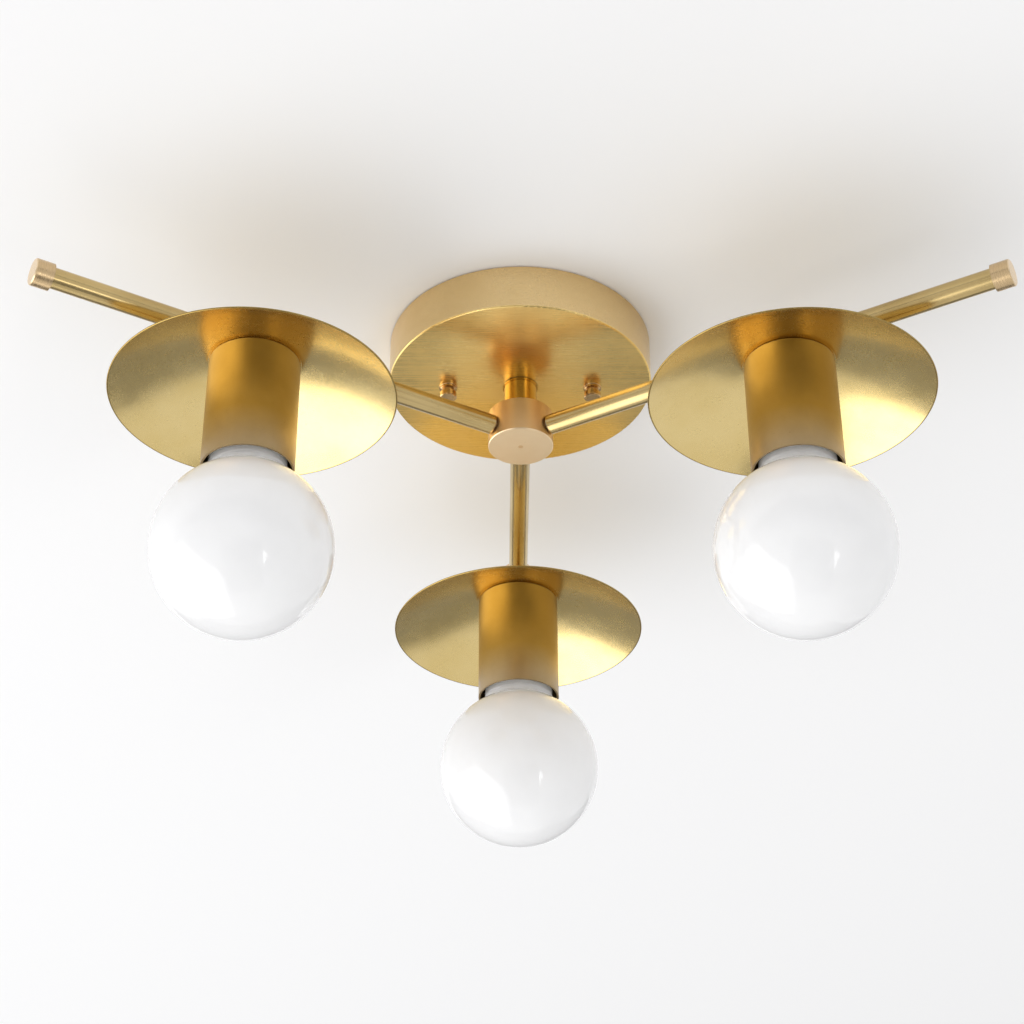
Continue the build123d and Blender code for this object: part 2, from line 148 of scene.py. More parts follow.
def make_ceiling():
    """Plain white ceiling with a hole for the outlet box, open to a view from above."""
    mesh = bpy.data.meshes.new("ceiling")
    edge_r = 8.0
    box_r = 52 * MM
    z = 0.8 * MM
    bm = bmesh.new()
    add_turned(bm, upright(0, 0), [(edge_r, z), (box_r, z)], steps=96)
    bm.to_mesh(mesh)
    bm.free()
    ceiling = bpy.data.objects.new("ceiling", mesh)
    bpy.context.scene.collection.objects.link(ceiling)
    material, tree, paint = new_material("ceiling_paint")
    paint.inputs["Base Color"].default_value = (0.91, 0.91, 0.915, 1)
    paint.inputs["Roughness"].default_value = 0.9
    paint.inputs["Specular IOR Level"].default_value = 0.1
    clear = tree.nodes.new("ShaderNodeBsdfTransparent")
    face = tree.nodes.new("ShaderNodeNewGeometry")
    path = tree.nodes.new("ShaderNodeLightPath")
    either = tree.nodes.new("ShaderNodeMath")
    either.operation = "MAXIMUM"
    tree.links.new(face.outputs["Backfacing"], either.inputs[0])
    tree.links.new(path.outputs["Is Shadow Ray"], either.inputs[1])
    mix = tree.nodes.new("ShaderNodeMixShader")
    tree.links.new(either.outputs[0], mix.inputs["Fac"])
    tree.links.new(paint.outputs[0], mix.inputs[1])
    tree.links.new(clear.outputs[0], mix.inputs[2])
    tree.links.new(mix.outputs[0], tree.nodes["Material Output"].inputs["Surface"])
    mesh.materials.append(material)


def make_studio():
    """Camera, ceiling, room light and lamps."""
    make_camera()
    make_ceiling()
    make_world()
    bpy.context.scene.view_settings.view_transform = "Standard"
    middle = (0, 0, -0.1)
    make_card(
        "far_card", place=(-0.055, 1.0, -0.53), target=(-0.055, 0.0, -0.53),
        width=1.51, height=1.04, grey=0.3,
    )
    make_card(
        "near_card", place=(0.1, -1.35, -1.95), target=middle,
        width=2.2, height=2.8, grey=0.3,
    )
    make_card(
        "top_card", place=(0.0, -1.1, -0.02), target=(0.0, -1.1, -1.0),
        width=2.4, height=1.6, grey=0.45,
    )
    make_area_light(
        "window", place=(-1.5, 0.15, -1.5), target=middle,
        width=2.8, height=2.5, radiance=0.95,
    )
    make_area_light(
        "sheen", place=(-1.45, 0.2, -1.4), target=middle,
        width=2.6, height=2.9, radiance=1.0, diffuse=False,
    )
    make_area_light(
        "softbox", place=(1.35, -1.75, -2.0), target=middle,
        width=0.45, height=1.0, radiance=3.0,
    )


# Node helpers

def new_material(name):
    """New material, its node tree and its Principled shader."""
    material = bpy.data.materials.new(name)
    material.use_nodes = True
    tree = material.node_tree
    return material, tree, tree.nodes["Principled BSDF"]


def coordinates(tree, turn=0.0, scale=(1, 1, 1)):
    """Object coordinates, turned about the upright axis and then scaled."""
    place = tree.nodes.new("ShaderNodeTexCoord")
    spin = tree.nodes.new("ShaderNodeVectorRotate")
    spin.rotation_type = "Z_AXIS"
    spin.inputs["Angle"].default_value = math.radians(-turn)
    tree.links.new(place.outputs["Object"], spin.inputs["Vector"])
    size = tree.nodes.new("ShaderNodeVectorMath")
    size.operation = "MULTIPLY"
    size.inputs[1].default_value = scale
    tree.links.new(spin.outputs["Vector"], size.inputs[0])
    return size.outputs["Vector"]


def noise(tree, vector, scale, detail=3.0):
    """Noise value for a vector."""
    texture = tree.nodes.new("ShaderNodeTexNoise")
    texture.inputs["Scale"].default_value = scale
    texture.inputs["Detail"].default_value = detail
    texture.inputs["Roughness"].default_value = 0.55
    tree.links.new(vector, texture.inputs["Vector"])
    return texture.outputs["Fac"]


def spread(tree, value, low, high, to_low=0.0, to_high=1.0):
    """Value mapped from one range to another, and held at its ends."""
    step = tree.nodes.new("ShaderNodeMapRange")
    step.inputs["From Min"].default_value = low
    step.inputs["From Max"].default_value = high
    step.inputs["To Min"].default_value = to_low
    step.inputs["To Max"].default_value = to_high
    tree.links.new(value, step.inputs["Value"])
    return step.outputs["Result"]


def blend_colours(tree, factor, first, second):
    """Mix of two colours, each a tuple or a socket."""
    mix = tree.nodes.new("ShaderNodeMix")
    mix.data_type = "RGBA"
    tree.links.new(factor, mix.inputs["Factor"])
    for socket, colour in ((mix.inputs[6], first), (mix.inputs[7], second)):
        if isinstance(colour, tuple):
            socket.default_value = (*colour, 1)
        else:
            tree.links.new(colour, socket)
    return mix.outputs[2]


def vary_roughness(tree, shader, base, *swings):
    """Roughness about a base, where each swing is (noise, its range, lowest, highest)."""
    rough = base
    for value, (start, end), lowest, highest in swings:
        total = tree.nodes.new("ShaderNodeMath")
        total.operation = "ADD"
        tree.links.new(spread(tree, value, start, end, lowest, highest), total.inputs[0])
        if rough is base:
            total.inputs[1].default_value = base
        else:
            tree.links.new(rough, total.inputs[1])
        rough = total.outputs[0]
    tree.links.new(rough, shader.inputs["Roughness"])


def shaded(colour, share):
    """Colour darkened to a share of itself."""
    return tuple(share * c for c in colour)


def add_bump(tree, shader, height, strength, distance):
    """Bump from a height value."""
    bump = tree.nodes.new("ShaderNodeBump")
    bump.inputs["Strength"].default_value = strength
    bump.inputs["Distance"].default_value = distance
    tree.links.new(height, bump.inputs["Height"])
    tree.links.new(bump.outputs["Normal"], shader.inputs["Normal"])


def radial_distance(tree, centre):
    """Distance from an upright axis through a point, and the position itself."""
    place = tree.nodes.new("ShaderNodeTexCoord")
    shift = tree.nodes.new("ShaderNodeVectorMath")
    shift.operation = "SUBTRACT"
    shift.inputs[1].default_value = (centre[0], centre[1], 0)
    tree.links.new(place.outputs["Object"], shift.inputs[0])
    flat = tree.nodes.new("ShaderNodeVectorMath")
    flat.operation = "MULTIPLY"
    flat.inputs[1].default_value = (1, 1, 0)
    tree.links.new(shift.outputs["Vector"], flat.inputs[0])
    length = tree.nodes.new("ShaderNodeVectorMath")
    length.operation = "LENGTH"
    tree.links.new(flat.outputs["Vector"], length.inputs[0])
    return length.outputs["Value"], place.outputs["Object"]


def ring_vector(tree, radius, position):
    """Vector of the distance from an axis and the height, for turned lines."""
    axis = tree.nodes.new("ShaderNodeSeparateXYZ")
    tree.links.new(position, axis.inputs[0])
    vector = tree.nodes.new("ShaderNodeCombineXYZ")
    tree.links.new(radius, vector.inputs["X"])
    tree.links.new(axis.outputs["Z"], vector.inputs["Z"])
    return vector.outputs["Vector"]


# Materials

def past(tree, position, axis, start, end, radius=None):
    """Share of the way past a place along an axis, or out from the turning axis for R."""
    if axis == "R":
        return spread(tree, radius, start, end)
    parts = tree.nodes.new("ShaderNodeSeparateXYZ")
    tree.links.new(position, parts.inputs[0])
    return spread(tree, parts.outputs[axis], start, end)


def brass_tone(tree, tones, position, patches, steps, radius=None):
    """Brass colour that drifts softly between two tones, and has other tones past steps."""
    drift = spread(tree, noise(tree, position, patches, detail=4.0), low=0.35, high=0.68)
    tone = blend_colours(tree, drift, tones[0], tones[1])
    for axis, start, end, first, second in steps:
        share = past(tree, position, axis, start, end, radius)
        tone = blend_colours(tree, share, tone, blend_colours(tree, drift, first, second))
    return tone


def finish_brass(tree, shader, tone, dark, position):
    """Brass colour with small specks, on a metal shader."""
    specks = noise(tree, position, scale=700.0, detail=1.0)
    share = spread(tree, specks, low=0.76, high=0.82, to_high=0.3)
    worn = blend_colours(tree, share, tone, shaded(dark, 0.45))
    tree.links.new(worn, shader.inputs["Base Color"])
    shader.inputs["Metallic"].default_value = 1.0


def turned_brass(name, tones, centre, roughness, relief=0.25, steps=()):
    """Brass with fine rings left by the lathe."""
    material, tree, shader = new_material(name)
    radius, position = radial_distance(tree, centre)
    tone = brass_tone(tree, tones, position, patches=30.0, steps=steps, radius=radius)
    finish_brass(tree, shader, tone, tones[1], position)
    fine = noise(tree, ring_vector(tree, radius, position), scale=2600.0, detail=2.0)
    smudge = noise(tree, position, scale=60.0, detail=4.0)
    swings = (fine, FINE, -0.05, 0.06), (smudge, PATCHY, -0.03, 0.05)
    vary_roughness(tree, shader, roughness, *swings)
    add_bump(tree, shader, fine, relief, distance=0.02 * MM)
    return material


def brushed_brass(name, tones, turn, roughness, grain, relief=0.12, steps=(), streak=0.35):
    """Brass with fine straight lines and darker streaks along one level direction."""
    material, tree, shader = new_material(name)
    along, across = grain
    position = coordinates(tree, turn)
    lines = coordinates(tree, turn, (along, across, across))
    fine = noise(tree, lines, scale=1.0, detail=2.0)
    broad = coordinates(tree, turn, (along, across / 5, across / 5))
    streaks = spread(tree, noise(tree, broad, scale=1.0), low=0.42, high=0.75, to_high=streak)
    tone = brass_tone(tree, tones, position, patches=22.0, steps=steps)
    tone = blend_colours(tree, streaks, tone, shaded(tones[1], 0.6))
    finish_brass(tree, shader, tone, tones[1], position)
    smudge = noise(tree, position, scale=45.0, detail=4.0)
    swings = (fine, FINE, -0.06, 0.08), (smudge, PATCHY, -0.03, 0.05)
    vary_roughness(tree, shader, roughness, *swings)
    add_bump(tree, shader, fine, relief, distance=0.02 * MM)
    return material


def satin_brass(name, tones, centre, roughness, steps):
    """Brass with a fine even mottle."""
    material, tree, shader = new_material(name)
    radius, position = radial_distance(tree, centre)
    tone = brass_tone(tree, tones, position, patches=40.0, steps=steps, radius=radius)
    finish_brass(tree, shader, tone, tones[1], position)
    fine = noise(tree, position, scale=1500.0)
    smudge = noise(tree, position, scale=90.0, detail=4.0)
    swings = (fine, FINE, -0.04, 0.05), (smudge, PATCHY, -0.02, 0.04)
    vary_roughness(tree, shader, roughness, *swings)
    add_bump(tree, shader, fine, strength=0.12, distance=0.02 * MM)
    return material


def opal_glass(name, neck_z):
    """Glossy white opal glass with the faintest unevenness, and painted light: a clearer white at
    the neck, where the cup shades it.
    """
    material, tree, shader = new_material(name)
    place = coordinates(tree)
    cloud = spread(tree, noise(tree, place, scale=35.0), *PATCHY)
    tone = blend_colours(tree, cloud, (0.84, 0.84, 0.845), (0.87, 0.87, 0.875))
    blend = 1.0 * MM
    # Painted light: the neck is painted whiter to offset the shade inside the cup.
    neck_painted_light = past(tree, place, "Z", neck_z - blend, neck_z + blend)
    tone = blend_colours(tree, neck_painted_light, tone, (0.97, 0.97, 0.975))
    tree.links.new(tone, shader.inputs["Base Color"])
    shader.inputs["Subsurface Weight"].default_value = 1.0
    shader.inputs["Subsurface Radius"].default_value = (1, 1, 1)
    shader.inputs["Subsurface Scale"].default_value = 0.03
    shader.inputs["Roughness"].default_value = 0.04
    shader.inputs["Specular IOR Level"].default_value = 0.6
    ripple = noise(tree, place, scale=60.0, detail=2.0)
    add_bump(tree, shader, ripple, strength=0.06, distance=0.1 * MM)
    return material


def part_metal(name, metal, coating, roughness, share_of):
    """Two finishes in one piece: bare metal, and a coating past a step."""
    material, tree, shader = new_material(name)
    radius, place = radial_distance(tree, (0, 0))
    coated = share_of(tree, place, radius)
    patch = spread(tree, noise(tree, place, scale=70.0, detail=4.0), *PATCHY)
    bare = blend_colours(tree, patch, metal, shaded(metal, 0.85))
    coat = blend_colours(tree, patch, coating, shaded(coating, 0.8))
    tree.links.new(blend_colours(tree, coated, bare, coat), shader.inputs["Base Color"])
    bareness = spread(tree, coated, low=0.0, high=1.0, to_low=1.0, to_high=0.0)
    tree.links.new(bareness, shader.inputs["Metallic"])
    fine = noise(tree, place, scale=600.0)
    vary_roughness(tree, shader, roughness, (fine, FINE, -0.04, 0.05))
    add_bump(tree, shader, fine, strength=0.2, distance=0.03 * MM)
    return material


def plain_metal(name, tones, roughness):
    """Plated metal with small tonal patches and a fine grain."""
    material, tree, shader = new_material(name)
    place = coordinates(tree)
    patch = spread(tree, noise(tree, place, scale=70.0, detail=5.0), *PATCHY)
    tree.links.new(blend_colours(tree, patch, *tones), shader.inputs["Base Color"])
    fine = noise(tree, place, scale=400.0)
    vary_roughness(tree, shader, roughness, (fine, FINE, -0.06, 0.08))
    shader.inputs["Metallic"].default_value = 1.0
    add_bump(tree, shader, fine, strength=0.2, distance=0.03 * MM)
    return material


def moulded(name, base, shade, roughness):
    """Moulded plastic or enamel with a fine surface grain."""
    material, tree, shader = new_material(name)
    place = coordinates(tree)
    patch = spread(tree, noise(tree, place, scale=50.0, detail=4.0), *PATCHY)
    tree.links.new(blend_colours(tree, patch, base, shade), shader.inputs["Base Color"])
    fine = noise(tree, place, scale=600.0)
    vary_roughness(tree, shader, roughness, (fine, FINE, -0.05, 0.07))
    add_bump(tree, shader, fine, strength=0.25, distance=0.03 * MM)
    return material


# Mesh helpers

def finish_mesh(name, bm, material, crease):
    """Object from a bmesh, joined where points meet and smooth apart from its sharp edges."""
    bmesh.ops.remove_doubles(bm, verts=bm.verts, dist=0.0001 * MM)
    bmesh.ops.recalc_face_normals(bm, faces=bm.faces)
    mesh = bpy.data.meshes.new(name)
    bm.to_mesh(mesh)
    bm.free()
    mesh.shade_smooth()
    mesh.set_sharp_from_angle(angle=math.radians(crease))
    mesh.materials.append(material)
    piece = bpy.data.objects.new(name, mesh)
    bpy.context.scene.collection.objects.link(piece)
    return piece


def settle(piece, node, body="fixture"):
    """Puts a finished piece in place of a CAD node."""
    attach(piece, body)
    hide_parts(node)


def upright(x, y):
    """Placement of an upright local axis."""
    return Matrix.Translation((x, y, 0))


def level(angle, z):
    """Placement of a local axis that leaves the middle along a level direction."""
    turn = Matrix.Rotation(math.radians(angle), 4, "Z")
    return Matrix.Translation((0, 0, z)) @ turn @ Matrix.Rotation(math.pi / 2, 4, "Y")


def circle(place, radius, height, steps, ribs=0, depth=0.0):
    """Ring of points round a local axis, plain or ribbed, or one point at no radius."""
    if radius <= 0:
        return [place @ Vector((0, 0, height))]
    points = []
    for i in range(steps):
        a = 2 * math.pi * i / steps
        reach = radius - depth * (0.5 - 0.5 * math.cos(ribs * a))
        points.append(place @ Vector((reach * math.cos(a), reach * math.sin(a), height)))
    return points


def add_skin(bm, rings, closed=False):
    """Faces between successive rings of points."""
    loops = [[bm.verts.new(point) for point in ring] for ring in rings]
    if closed:
        loops.append(loops[0])
    for upper, lower in zip(loops, loops[1:]):
        count = max(len(upper), len(lower))
        for i in range(count):
            j = (i + 1) % count
            corners = (
                upper[i % len(upper)], lower[i % len(lower)],
                lower[j % len(lower)], upper[j % len(upper)],
            )
            corners = tuple(dict.fromkeys(corners))
            if len(corners) > 2:
                bm.faces.new(corners)


def add_turned(bm, place, profile, steps):
    """Surface turned about a local axis from (radius, height) points."""
    add_skin(bm, [circle(place, radius, height, steps) for radius, height in profile])


def add_helix(bm, place, pitch, form, bottom, top, steps):
    """Right-hand threaded surface whose form is (share of a turn, radius) over one pitch."""
    root = min(radius for share, radius in form)
    rows = []
    for turn in range(math.floor(bottom / pitch) - 1, math.ceil(top / pitch) + 1):
        for share, radius in form:
            row = []
            for j in range(steps + 1):
                a = 2 * math.pi * j / steps
                z = min(max(pitch * (turn + share + j / steps), bottom), top)
                r = min(radius, root + min(z - bottom, top - z))
                row.append(bm.verts.new(place @ Vector((r * math.cos(a), r * math.sin(a), z))))
            rows.append(row)
    for lower, upper in zip(rows, rows[1:]):
        for j in range(steps):
            bm.faces.new((lower[j], lower[j + 1], upper[j + 1], upper[j]))


def add_threaded_rod(bm, place, pitch, crest, depth, bottom, top, bore=0.0, steps=48):
    """Threaded rod or pipe, closed at its ends."""
    root = crest - depth
    flat = 0.12
    form = ((0.0, crest), (flat, crest), (0.5, root), (0.5 + flat, root))
    add_helix(bm, place, pitch, form, bottom, top, steps)
    ends = [(root, top), (bore, top), (bore, bottom), (root, bottom)]
    add_turned(bm, place, ends, steps)


def add_hex_nut(bm, place, flats, bore, bottom, top, turn=0.0):
    """Hexagonal nut or head with chamfered corners, one of them at the turn angle."""
    steps = 72
    half = flats / 2
    face = 0.95 * half
    slope = math.tan(math.radians(30))
    low, high = [], []
    for i in range(steps):
        a = 2 * math.pi * i / steps
        off = (a - math.radians(turn)) % (math.pi / 3) - math.pi / 6
        reach = half / math.cos(off)
        cut = (reach - face) * slope
        x, y = reach * math.cos(a), reach * math.sin(a)
        low.append(place @ Vector((x, y, bottom + cut)))
        high.append(place @ Vector((x, y, top - cut)))
    rings = [
        circle(place, bore, bottom, steps), circle(place, face, bottom, steps), low,
        high, circle(place, face, top, steps), circle(place, bore, top, steps),
    ]
    add_skin(bm, rings, bore > 0)


def add_slotted_head(bm, place, radius, height, slot, depth):
    """Round screw head with a straight slot."""
    floor = height - depth
    edge = 0.25 * MM
    top_share = 0.88
    count = 24
    add_turned(bm, place, [(0, 0), (radius, 0), (radius, floor), (0, floor)], steps=48)
    start = math.asin(slot / 2 / radius)
    for side in (1, -1):
        outline = []
        for i in range(count + 1):
            a = start + (math.pi - 2 * start) * i / count
            outline.append(Vector((radius * math.cos(a), side * radius * math.sin(a), 0)))
        middle = Vector((0, side * radius * 0.5, 0))
        rings = [[place @ (middle + Vector((0, 0, floor)))]]
        for z, share in ((floor, 1.0), (height - edge, 1.0), (height, top_share)):
            rings.append([place @ (middle.lerp(p, share) + Vector((0, 0, z))) for p in outline])
        rings.append([place @ (middle + Vector((0, 0, height)))])
        add_skin(bm, rings)


def arc(centre, radius, start, end, count):
    """Points (radius, height) along an arc, by angles in degrees."""
    points = []
    for i in range(count + 1):
        a = math.radians(start + (end - start) * i / count)
        points.append((centre[0] + radius * math.cos(a), centre[1] + radius * math.sin(a)))
    return points


def node_axis(node):
    """Middle of a CAD node's box, as seen from above."""
    low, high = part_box(node)
    return (low.x + high.x) / 2, (low.y + high.y) / 2


# Bulbs and screw shells

def wave(radius):
    """Rounded form of the bulb thread: (share of a turn, radius) over one pitch."""
    count = 10
    form = []
    for i in range(count):
        rise = 0.5 + 0.5 * math.cos(2 * math.pi * i / count)
        form.append((i / count, radius - BULB_DEPTH + BULB_DEPTH * rise))
    return form


def make_bulb_glass(lamp, material):
    """Opal globe with a rolled collar and a short straight neck."""
    node = f"bulb_glass_{lamp}"
    low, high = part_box(node)
    globe_r = (high.x - low.x) / 2
    globe_z = low.z + globe_r
    base_low, base_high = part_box(f"bulb_base_{lamp}")
    stem_r = (base_high.x - base_low.x) / 2 - 1.7 * MM
    stem_z = base_low.z - 0.2 * MM
    shoulder = 2.6 * MM
    shoulder_z = base_low.z - 4.6 * MM
    collar_r = 17.4 * MM
    collar_z = base_low.z - 8.8 * MM
    bead = 1.1 * MM
    neck_r = 16.8 * MM
    neck_z = collar_z - 1.6 * MM
    fillet = 1.6 * MM
    hollow_r = neck_r + fillet
    hollow_z = globe_z + math.sqrt((globe_r + fillet) ** 2 - hollow_r**2)
    lean = math.degrees(math.atan2(hollow_z - globe_z, hollow_r))
    profile = [(0, high.z), (stem_r, high.z), (stem_r, stem_z)]
    profile += arc((collar_r - shoulder, shoulder_z), shoulder, 62, 6, 8)
    profile += arc((collar_r - bead, collar_z), bead, 10, -50, 8)
    profile += [(neck_r, neck_z)]
    profile += arc((hollow_r, hollow_z), fillet, 180, 180 + lean, 8)
    profile += arc((0, globe_z), globe_r, lean - 1.2, -90, 72)[:-1]
    profile += [(0, low.z)]
    bm = bmesh.new()
    add_turned(bm, upright(*node_axis(node)), profile, steps=160)
    piece = finish_mesh(f"bulb_{lamp}_glass", bm, material, crease=60)
    settle(piece, node, f"bulb_{lamp}")


def make_bulb_base(lamp, material):
    """Screw base rolled from thin metal, with a rounded thread and a plain skirt."""
    node = f"bulb_base_{lamp}"
    low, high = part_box(node)
    place = upright(*node_axis(node))
    crest = (high.x - low.x) / 2 - 0.05 * MM
    root = crest - BULB_DEPTH
    wall = 0.4 * MM
    rim_r = 11.0 * MM
    tip_r = 4.85 * MM
    shoulder = high.z - 1.8 * MM
    skirt = low.z + 3.0 * MM
    skirt_top = (crest - 0.3 * MM, skirt - 0.5 * MM)
    skirt_flare = (crest - 0.2 * MM, low.z + 0.5 * MM)
    steps = 72
    bm = bmesh.new()
    add_helix(bm, place, BULB_PITCH, wave(crest), skirt, shoulder, steps)
    profile = [
        (root, skirt), skirt_top, skirt_flare, (crest, low.z), (crest - wall, low.z),
        (root - wall, skirt), (root - wall, shoulder - wall), (rim_r - wall, high.z - wall),
        (tip_r, high.z - wall), (tip_r, high.z), (rim_r, high.z), (root, shoulder),
    ]
    add_turned(bm, place, profile, steps)
    piece = finish_mesh(f"bulb_{lamp}_base", bm, material, crease=50)
    settle(piece, node, f"bulb_{lamp}")


def make_screw_shell(lamp, material):
    """Thin threaded sleeve in the socket, turned in at its top."""
    node = f"screw_shell_{lamp}"
    low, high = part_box(node)
    place = upright(*node_axis(node))
    outside = (high.x - low.x) / 2 - 0.05 * MM
    inside = outside - 0.35 * MM
    lip_r = 11.4 * MM
    lip_z = high.z - 0.4 * MM
    steps = 72
    bm = bmesh.new()
    add_helix(bm, place, BULB_PITCH, wave(outside), low.z, high.z, steps)
    add_helix(bm, place, BULB_PITCH, wave(inside), low.z, lip_z, steps)
    outer_root = outside - BULB_DEPTH
    inner_root = inside - BULB_DEPTH
    add_turned(bm, place, [(outer_root, low.z), (inner_root, low.z)], steps)
    lip = [(inner_root, lip_z), (lip_r, lip_z), (lip_r, high.z), (outer_root, high.z)]
    add_turned(bm, place, lip, steps)
    piece = finish_mesh(f"socket_{lamp}_shell", bm, material, crease=50)
    settle(piece, node)


# Threaded rods, nuts, washers and screws

def make_studs(material):
    """Two threaded studs that hold the canopy up."""
    low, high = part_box("canopy_studs")
    radius = (high.y - low.y) / 2
    reach = high.x - radius
    bm = bmesh.new()
    for x in (-reach, reach):
        place = upright(x, 0)
        add_threaded_rod(bm, place, STUD_PITCH, radius, STUD_DEPTH, low.z, high.z, steps=36)
    settle(finish_mesh("threaded_studs", bm, material, crease=30), "canopy_studs")


def make_nipples(material):
    """Threaded pipes: one in the stem, three in the arms and three over the sockets."""
    low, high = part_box("centre_nipple")
    crest = (high.x - low.x) / 2 - 0.03 * MM
    bore = 3.5 * MM
    bm = bmesh.new()
    add_threaded_rod(bm, upright(0, 0), PIPE_PITCH, crest, PIPE_DEPTH, low.z, high.z, bore)
    settle(finish_mesh("threaded_centre_pipe", bm, material, crease=30), "centre_nipple")
    low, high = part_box("head_nipples")
    bm = bmesh.new()
    for lamp in LAMPS:
        place = upright(*node_axis(f"disc_{lamp}"))
        add_threaded_rod(bm, place, PIPE_PITCH, crest, PIPE_DEPTH, low.z, high.z, bore)
    settle(finish_mesh("threaded_head_pipes", bm, material, crease=30), "head_nipples")
    low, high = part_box("hub_nipples")
    radius = (high.z - low.z) / 2 - 0.03 * MM
    start = 7.5 * MM
    bore = 2.3 * MM
    bm = bmesh.new()
    for lamp in LAMPS:
        place = level(ARM_ANGLE[lamp], (high.z + low.z) / 2)
        add_threaded_rod(bm, place, PIPE_PITCH, radius, STUD_DEPTH, start, high.y, bore, steps=36)
    settle(finish_mesh("threaded_arm_pipes", bm, material, crease=30), "hub_nipples")


def make_nuts(material):
    """Chamfered hexagonal nuts on the studs, the stem and the upright pipes."""
    low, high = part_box("stud_nuts")
    flats = high.y - low.y
    reach = high.x - flats / math.sqrt(3)
    hole_r = 2.08 * MM
    bm = bmesh.new()
    for x in (-reach, reach):
        add_hex_nut(bm, upright(x, 0), flats, hole_r, low.z, high.z)
    settle(finish_mesh("chamfered_stud_nuts", bm, material, crease=20), "stud_nuts")
    low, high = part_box("stem_nut")
    flats = high.y - low.y
    bm = bmesh.new()
    add_hex_nut(bm, upright(0, 0), flats, PIPE_HOLE_R, low.z, high.z)
    settle(finish_mesh("chamfered_stem_nut", bm, material, crease=20), "stem_nut")
    low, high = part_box("head_nuts")
    bm = bmesh.new()
    for lamp in LAMPS:
        place = upright(*node_axis(f"disc_{lamp}"))
        add_hex_nut(bm, place, flats, PIPE_HOLE_R, low.z, high.z, ARM_ANGLE[lamp])
    settle(finish_mesh("chamfered_head_nuts", bm, material, crease=20), "head_nuts")


def make_lock_washer(material):
    """Washer with twisted teeth round its rim."""
    low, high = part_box("lock_washer")
    middle = (low.z + high.z) / 2
    half = 0.25 * MM
    twist = (high.z - low.z) / 2 - half
    tooth_root_r = 6.9 * MM
    radii = (PIPE_HOLE_R, tooth_root_r, high.x)
    teeth = 14
    per_tooth = 6
    filled = 4
    steps = teeth * per_tooth
    cells = {(0, j) for j in range(steps)}
    cells |= {(1, j) for j in range(steps) if j % per_tooth < filled}
    bm = bmesh.new()

    def corner(i, j, side):
        """Corner of a cell on its upper or lower side."""
        a = 2 * math.pi * j / steps
        z = middle + side * half
        if i == 2:
            z += twist * (2 * (j % per_tooth) / filled - 1)
        return bm.verts.new((radii[i] * math.cos(a), radii[i] * math.sin(a), z))

    for i, j in cells:
        k = j + 1
        around = {
            (i - 1, j): ((i, j), (i, k)),
            (i + 1, j): ((i + 1, k), (i + 1, j)),
            (i, (j - 1) % steps): ((i + 1, j), (i, j)),
            (i, k % steps): ((i, k), (i + 1, k)),
        }
        for side in (1, -1):
            bm.faces.new([corner(*at, side) for at in ((i, j), (i + 1, j), (i + 1, k), (i, k))])
        for neighbour, (first, second) in around.items():
            if neighbour not in cells:
                bm.faces.new([
                    corner(*first, 1), corner(*second, 1), corner(*second, -1), corner(*first, -1),
                ])
    settle(finish_mesh("toothed_washer", bm, material, crease=30), "lock_washer")


def make_terminal_screws(material):
    """Two slotted screw heads on each socket."""
    low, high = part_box("terminal_screws")
    radius = 2.8 * MM
    slot_width = 0.9 * MM
    slot_depth = 1.1 * MM
    spacing = 21.6 * MM
    bm = bmesh.new()
    for lamp in LAMPS:
        centre = upright(*node_axis(f"disc_{lamp}"))
        for side in (1, -1):
            turn = Matrix.Rotation(math.radians(ARM_ANGLE[lamp]), 4, "Z")
            offset = Matrix.Translation((0, side * spacing / 2, low.z))
            slot_angle = 35 * side + 20
            place = centre @ turn @ offset @ Matrix.Rotation(math.radians(slot_angle), 4, "Z")
            add_slotted_head(bm, place, radius, high.z - low.z, slot_width, slot_depth)
    settle(finish_mesh("slotted_terminals", bm, material, crease=30), "terminal_screws")


def make_ground_screw(material):
    """Flanged hexagonal screw with a threaded shank."""
    low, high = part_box("ground_screw")
    place = upright(*node_axis("ground_screw"))
    head_r = (high.x - low.x) / 2
    edge = 0.2 * MM
    flats = 6.2 * MM
    corner_angle = 15
    shank_r = 2.0 * MM
    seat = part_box("crossbar")[0].z
    flange = seat - 0.6 * MM
    disc = [(0, seat), (head_r - edge, seat), (head_r, seat - edge), (head_r, flange), (0, flange)]
    bm = bmesh.new()
    add_turned(bm, place, disc, steps=48)
    add_hex_nut(bm, place, flats, 0.0, low.z, flange, corner_angle)
    add_threaded_rod(bm, place, STUD_PITCH, shank_r, STUD_DEPTH, seat, high.z, steps=36)
    piece = finish_mesh("flanged_ground_screw", bm, material, crease=30)
    settle(piece, "ground_screw")


def make_wire_connectors(material):
    """Two ribbed cones that join the wires."""
    low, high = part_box("wire_connectors")
    z = (low.z + high.z) / 2
    start = 25.0 * MM
    ribbed = start + 6.0 * MM
    end = high.y
    wide = (high.x - low.x) / 2
    edge = 0.5 * MM
    waist = wide - 0.4 * MM
    tip = 3.3 * MM
    tip_round = 1.1 * MM
    rib_count = 16
    rib_depth = 0.45 * MM
    steps = 128
    plain = [
        (0, start + 12.0 * MM), (2.3 * MM, start + 11.0 * MM), (2.7 * MM, start),
        (wide - edge, start), (wide, start + edge), (wide, ribbed - 0.8 * MM),
        (wide - edge, ribbed),
    ]
    bm = bmesh.new()
    for angle in (90, -90):
        place = level(angle, z)
        rings = [circle(place, radius, along, steps) for radius, along in plain]
        for share in (0.06, 0.35, 0.65, 0.88):
            radius = waist + (tip - waist) * share
            along = ribbed + (end - ribbed) * share
            rings.append(circle(place, radius, along, steps, rib_count, rib_depth))
        for radius, along in arc((tip - tip_round, end - tip_round), tip_round, 10, 90, 6):
            rings.append(circle(place, radius, along, steps))
        rings.append(circle(place, 0, end, steps))
        add_skin(bm, rings)
    piece = finish_mesh("ribbed_connectors", bm, material, crease=40)
    settle(piece, "wire_connectors")


# Assembly

